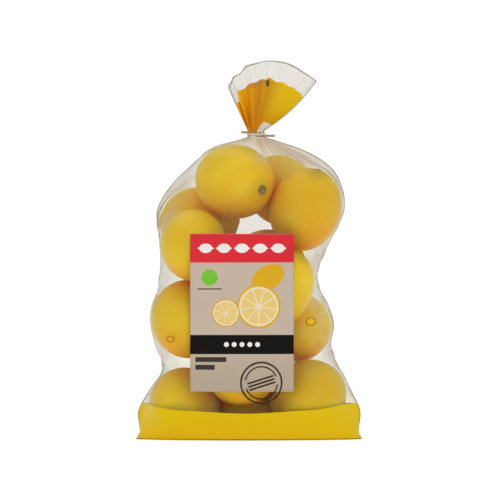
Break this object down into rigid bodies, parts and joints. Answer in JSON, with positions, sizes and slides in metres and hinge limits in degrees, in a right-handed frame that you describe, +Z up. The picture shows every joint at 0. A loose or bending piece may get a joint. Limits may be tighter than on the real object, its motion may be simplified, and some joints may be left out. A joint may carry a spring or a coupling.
{
  "type": "film bag of lemons",
  "caption": "Clear film bag packed with lemons, standing on a flat printed foot, gathered to a tied neck under a pleated ruffle.",
  "frame": {"origin": "centre of the flat foot, on the surface the bag stands on", "axes": "+Z up through the neck, -Y towards the printed front, +X to the right seen from the front"},
  "size_m": [0.176, 0.12, 0.295],
  "materials": {
    "film": "thin clear polythene drawn tight over yellow fruit, with an opaque yellow printed foot",
    "tie": "grey plastic twist tie"
  },
  "bodies": {
    "root": {"bag": "film", "tie": "tie"}
  },
  "joints": []
}
